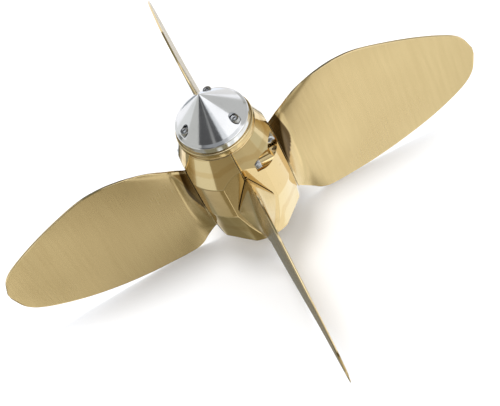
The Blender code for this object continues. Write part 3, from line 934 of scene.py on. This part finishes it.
def fitScrews(name, node, sizes, places):
    # copies of one screw, each turned about its own axis at its place
    shape = screwMesh(name, sizes)
    for (label, place), turn in zip(places.items(), sizes["turns"]):
        mesh = shape.copy()
        mesh.transform(place @ Matrix.Rotation(math.radians(turn), 4, "Z"))
        fitPiece(mesh, name + label.title(), f"{node}_{label}", "body", "screw_steel")


def makeScrews():
    # anode screws hang from their heads' tops, seam bolts stand on their pockets' seats
    underHead = anodeScrew["headTop"] - anodeScrew["headHeight"]
    spots = {str(number): spot for number, spot in enumerate(screwPlaces(underHead), 1)}
    fitScrews("anodeScrew", "anode_screw", anodeScrew, spots)
    seated = Matrix.Translation((0, 0, (body["boltSeat"] + body["boltGap"]) * mm))
    bolts = {side: lifted() @ place @ seated for side, place in boltPlaces().items()}
    fitScrews("seamBolt", "seam_bolt", seamBolt, bolts)


makeBody()
makeBlades()
makeHub()
makeCap()
makeAnode()
makeScrews()
print("hub, cap, anode and screws made")


# Floor, light, world and camera

studio = {
    "floorReach": 12.0,                       # metres, as every place and size here
    "floorColour": (0.92, 0.92, 0.925, 1), "floorRoughness": 0.9,
    "backdrop": (1.0, 1.0, 1.0, 1), "roomLight": 1.18, "roomTint": (0.95, 0.97, 1.0, 1),
    "keyPlace": (-0.05, 0.22, 2.1), "keyAim": (0, 0, 0.05), "keySize": 0.6, "keyPower": 20,
    "mirrored": (1.05, 1.05, 1.06),           # what the metal mirrors where no panel stands
    "panelFade": 0.8, "panelRiseFade": 2.5,   # half widths of their soft borders, in degrees
}
# Panels that the metal mirrors: azimuth from the front, half width, height and half height
# in degrees, then colour; azimuth grows to the right, and a later panel lies over earlier ones
panels = [
    (90, 90, -64, 27, (1.1, 1.12, 1.1)), (171, 13, -50, 20, (0.95, 1.0, 1.08)),
    (159, 14, -20, 10, (0.84, 0.83, 0.81)), (-169, 11, -53, 20, (0.24, 0.27, 0.29)),
    (30, 30, -37, 6, (1.02, 1.02, 1.0)), (80, 22, -36, 8, (0.86, 0.83, 0.76)),
    (30, 30, -27, 6, (0.78, 0.74, 0.64)), (78, 20, -25, 6, (0.72, 0.68, 0.58)),
    (30, 30, -12, 10, (0.56, 0.53, 0.44)), (72, 12, -14, 8, (0.62, 0.64, 0.6)),
    (94, 10, -17, 10, (0.9, 0.92, 0.92)), (46, 46, 38, 26, (1.2, 1.2, 1.2)),
    (112, 44, 30, 34, (0.57, 0.57, 0.55)), (30, 44, 39, 27, (1.2, 1.2, 1.2)),
    (8, 9, 38, 26, (0.8, 0.82, 0.83)), (17, 12, -47, 13, (1.12, 1.13, 1.1)),
    (21, 8.5, -47, 13, (0.86, 0.88, 0.84)), (18, 10, -37, 5, (0.88, 0.9, 0.86)),
    (162, 20, 48, 22, (0.16, 0.13, 0.08)), (138, 20, -45, 7, (0.15, 0.13, 0.07)),
    (-90, 90, -74, 17, (0.21, 0.19, 0.12)), (-62, 62, -34, 15, (0.31, 0.3, 0.25)),
    (-32, 32, -46, 8, (0.25, 0.22, 0.13)), (-7, 5, -58, 5.5, (0.52, 0.51, 0.45)),
    (-20.5, 7, -53.5, 9, (1.08, 1.08, 1.0)), (7, 12, -70, 6, (0.45, 0.43, 0.34)),
    (-84, 20, -56, 6, (0.36, 0.35, 0.27)), (-112, 9, -48, 10, (0.32, 0.33, 0.28)),
    (-140, 20, -46, 9, (0.17, 0.15, 0.08)), (-28, 28, -12, 7, (0.32, 0.28, 0.19)),
    (-78, 22, -12, 11, (0.76, 0.78, 0.75)), (-36, 36, 38, 30, (0.08, 0.08, 0.08)),
    (-27, 4.5, 34, 28, (0.3, 0.3, 0.29)), (-112, 40, 28, 36, (0.57, 0.57, 0.54)),
    (-130, 22, 0, 12, (0.8, 0.81, 0.79)), (-18, 46, 3, 10, (0.13, 0.11, 0.07)),
    (-163, 16, 41, 17, (0.16, 0.17, 0.18)), (-95, 60, 62, 11, (0.28, 0.28, 0.28)),
    (180, 50, 66, 12, (0.2, 0.22, 0.2)), (-45, 45, 57, 10, (0.3, 0.31, 0.32)),
    (8, 9, 57, 10, (0.52, 0.53, 0.54)), (50, 33, 57, 10, (0.86, 0.87, 0.87)),
    (0, 34, 80, 11, (1.6, 1.64, 1.66)), (60, 50, 72, 6, (1.5, 1.54, 1.56)),
    (-138, 18, 22, 9, (0.12, 0.13, 0.12)), (134, 9, 22, 8, (0.25, 0.24, 0.18)),
    (34, 7, -47, 5, (1.35, 1.36, 1.3)),
]
# Degrees and metres, lens and sensor in mm; the aim is off the shaft axis in mm on the picture
camera = {
    "elevation": 50.5, "distance": 1.5, "roll": 27.97, "lens": 109.0, "sensor": 36.0,
    "aimRight": -5.7, "aimDown": 30.7,
}


def makeFloor():
    # flat disc; the metal looks past it into the room, whose lower half stands for it
    profile = [(0, 0), (studio["floorReach"] / mm, 0)]
    mesh = surfaceMesh("floor", turnedGrid(profile, 96), wrapCols=True)
    look = bpy.data.materials.new("pale floor")
    look.use_nodes = True
    shader = look.node_tree.nodes["Principled BSDF"]
    shader.inputs["Base Color"].default_value = studio["floorColour"]
    shader.inputs["Roughness"].default_value = studio["floorRoughness"]
    shader.inputs["Specular IOR Level"].default_value = 0.0
    mesh.materials.append(look)
    made = addObject("floor", mesh)
    made.visible_glossy = False


def panelShare(tree, azimuth, height, panel):
    # 1 inside the panel, 0 outside, eased over its soft borders
    middle, halfWidth, up, halfHeight = map(float, panel)
    fade, riseFade = studio["panelFade"], studio["panelRiseFade"]
    apart = mathNode(tree, "WRAP", mathNode(tree, "SUBTRACT", azimuth, middle), 180.0, -180.0)
    around = mathNode(tree, "ABSOLUTE", apart)
    rise = mathNode(tree, "ABSOLUTE", mathNode(tree, "SUBTRACT", height, up))
    across = rangeNode(tree, around, halfWidth - fade, halfWidth + fade, 1.0, 0.0, True)
    along = rangeNode(tree, rise, halfHeight - riseFade, halfHeight + riseFade, 1.0, 0.0, True)
    return times(tree, across, along)


def makeWorld():
    # the metal mirrors the panels, the floor is lit by an even room, the camera sees the backdrop
    world = bpy.data.worlds.new("studio")
    world.use_nodes = True
    bpy.context.scene.world = world
    tree = world.node_tree
    tree.nodes.clear()
    way = addNode(tree, "TexCoord").outputs["Generated"]
    parts = addNode(tree, "SeparateXYZ", {0: way}).outputs
    back = times(tree, parts[1], -1.0)
    azimuth = mathNode(tree, "DEGREES", mathNode(tree, "ARCTAN2", parts[0], back))
    height = mathNode(tree, "DEGREES", mathNode(tree, "ARCSINE", parts[2]))
    layers = [(panelShare(tree, azimuth, height, panel[:4]), panel[4]) for panel in panels]
    lights = {"mirrored": (layered(tree, studio["mirrored"], layers), 1.0),
              "room": (studio["roomTint"], studio["roomLight"]),
              "seen": (studio["backdrop"], 1.0)}
    light = {name: addNode(tree, "Background", {0: colour, 1: strength}).outputs[0]
             for name, (colour, strength) in lights.items()}
    path = addNode(tree, "LightPath").outputs
    glossy = {0: path["Is Glossy Ray"], 1: light["room"], 2: light["mirrored"]}
    given = addNode(tree, "MixShader", glossy).outputs[0]
    whole = {0: path["Is Camera Ray"], 1: given, 2: light["seen"]}
    final = addNode(tree, "MixShader", whole).outputs[0]
    addNode(tree, "OutputWorld", {"Surface": final})


def makeLight():
    # round lamp over the back of the floor, aimed at the hub; it lights but isn't mirrored
    key = bpy.data.lights.new("keyLight", "AREA")
    key.shape = "DISK"
    key.size = studio["keySize"]
    key.energy = studio["keyPower"]
    lamp = addObject("keyLight", key)
    lamp.location = studio["keyPlace"]
    lamp.rotation_mode = "QUATERNION"
    aim = Vector(studio["keyAim"]) - lamp.location
    lamp.rotation_quaternion = aim.to_track_quat("-Z", "Y")
    lamp.visible_glossy = False


def makeCamera():
    # camera on the front side, raised by the elevation, rolled so that the nose leans left
    lens = bpy.data.cameras.new("camera")
    lens.lens = camera["lens"]
    lens.sensor_width = camera["sensor"]
    seat = addObject("camera", lens)
    raised = math.radians(camera["elevation"])
    roll = math.radians(camera["roll"])
    away = Vector((0, -math.cos(raised), math.sin(raised)))
    up = Vector((0, math.sin(raised), math.cos(raised)))
    right = Vector((1, 0, 0))
    centre = Vector((0, 0, propeller["axisHeight"] * mm))
    spot = centre + away * camera["distance"]
    target = centre + right * camera["aimRight"] * mm - up * camera["aimDown"] * mm
    back = (spot - target).normalized()
    across = right * math.cos(roll) - up * math.sin(roll)
    across = (across - back * across.dot(back)).normalized()
    turn = Matrix((across, back.cross(across), back)).transposed().to_4x4()
    seat.matrix_world = Matrix.Translation(spot) @ turn
    bpy.context.scene.camera = seat
    bpy.context.scene.view_settings.view_transform = "Standard"


makeFloor()
makeWorld()
makeLight()
makeCamera()
print("floor, light and camera set")

bpy.context.view_layer.update()
